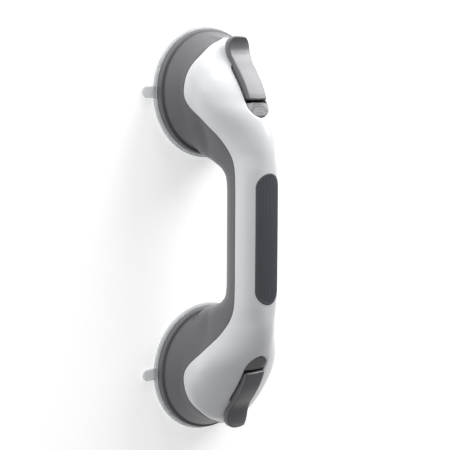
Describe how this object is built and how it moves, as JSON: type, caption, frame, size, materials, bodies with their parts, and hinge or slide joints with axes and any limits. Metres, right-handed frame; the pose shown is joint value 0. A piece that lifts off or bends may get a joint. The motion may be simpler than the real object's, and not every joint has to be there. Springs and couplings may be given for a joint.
{
  "type": "suction grab bar",
  "caption": "Wall grab bar with a rounded handle between two suction cups, each locked and released by a flip lever; white front cover, grey rear shell and bells, dark palm pad.",
  "frame": {"origin": "midway between the two suction cups, on the wall surface that the cups cling to", "axes": "+X along the bar towards the upper end, +Z away from the wall, +Y to the side that carries the pull tabs"},
  "size_m": [0.3, 0.1057, 0.0728],
  "materials": {
    "white_abs": "satin moulded ABS",
    "grey_abs": "fine satin texture",
    "grip_rubber": "fine lengthwise ribs",
    "screw_steel": "zinc plated",
    "clear_elastomer": "clear soft elastomer",
    "stem_nylon": "natural nylon",
    "pin_steel": "ground steel",
    "plate_steel": "stamped stainless",
    "spring_steel": "drawn wire",
    "lever_abs": "fine satin texture",
    "seat_abs": "satin with fine ribs"
  },
  "bodies": {
    "housing": {"front_cover": "white_abs", "rear_shell": "grey_abs", "palm_grip": "grip_rubber", "handle_screws": "screw_steel", "upper_wear_plate": "plate_steel", "upper_shell_screws": "screw_steel", "upper_lever_seat": "seat_abs", "upper_return_spring": "spring_steel", "lower_wear_plate": "plate_steel", "lower_shell_screws": "screw_steel", "lower_lever_seat": "seat_abs", "lower_return_spring": "spring_steel"},
    "upper_cup": {"upper_suction_cup": "clear_elastomer", "upper_stem": "stem_nylon", "upper_lever_pin": "pin_steel", "upper_spring_washer": "pin_steel"},
    "upper_lever_body": {"upper_lever": "lever_abs"},
    "lower_cup": {"lower_suction_cup": "clear_elastomer", "lower_stem": "stem_nylon", "lower_lever_pin": "pin_steel", "lower_spring_washer": "pin_steel"},
    "lower_lever_body": {"lower_lever": "lever_abs"}
  },
  "joints": [
    {"name": "upper_stem_slide", "type": "slide", "parent": "housing", "child": "upper_cup", "axis": [0, 0, -1], "range_m": [0, 0.004], "deforming": ["upper_return_spring"]},
    {"name": "upper_lever_hinge", "type": "hinge", "parent": "upper_cup", "child": "upper_lever_body", "pos_m": [0.1021, 0, 0.051], "axis": [0, -1, 0], "range_deg": [0, 90]},
    {"name": "lower_stem_slide", "type": "slide", "parent": "housing", "child": "lower_cup", "axis": [0, 0, -1], "range_m": [0, 0.004], "deforming": ["lower_return_spring"]},
    {"name": "lower_lever_hinge", "type": "hinge", "parent": "lower_cup", "child": "lower_lever_body", "pos_m": [-0.1021, 0, 0.051], "axis": [0, 1, 0], "range_deg": [0, 90]}
  ],
  "couplings": [
    {"joint": "upper_lever_hinge", "follows": "upper_stem_slide", "rad_per_m": 392.69},
    {"joint": "lower_lever_hinge", "follows": "lower_stem_slide", "rad_per_m": 392.69}
  ]
}
